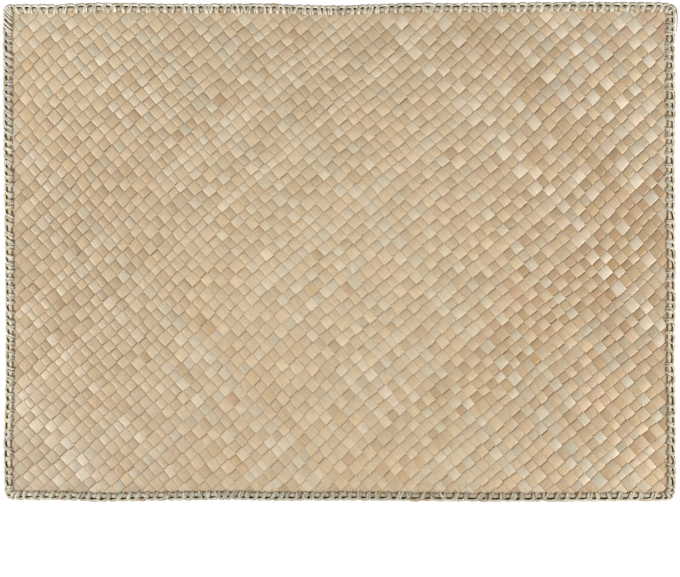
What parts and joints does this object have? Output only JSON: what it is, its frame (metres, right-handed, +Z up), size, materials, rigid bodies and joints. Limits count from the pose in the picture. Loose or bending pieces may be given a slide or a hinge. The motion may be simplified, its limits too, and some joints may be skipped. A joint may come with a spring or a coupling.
{
  "type": "placemat",
  "caption": "Rectangular placemat of leaf strips plaited on the diagonal, with a leaf core strip lashed round its edge, lying flat.",
  "frame": {"origin": "centre of the mat's footprint, on the surface that it lies on", "axes": "+X along the long sides, +Y along the short sides, +Z up out of the face that is laid for the plate"},
  "size_m": [0.451, 0.3356, 0.0032],
  "materials": {
    "plaited_leaf": "dry, faintly silky leaf strips in mixed straw tones",
    "core_leaf": "pale dry leaf",
    "leaf_thread": "pale fibrous leaf thread"
  },
  "bodies": {
    "root": {"woven_panel": "plaited_leaf", "edge_core": "core_leaf", "edge_stitching": "leaf_thread"}
  },
  "joints": []
}
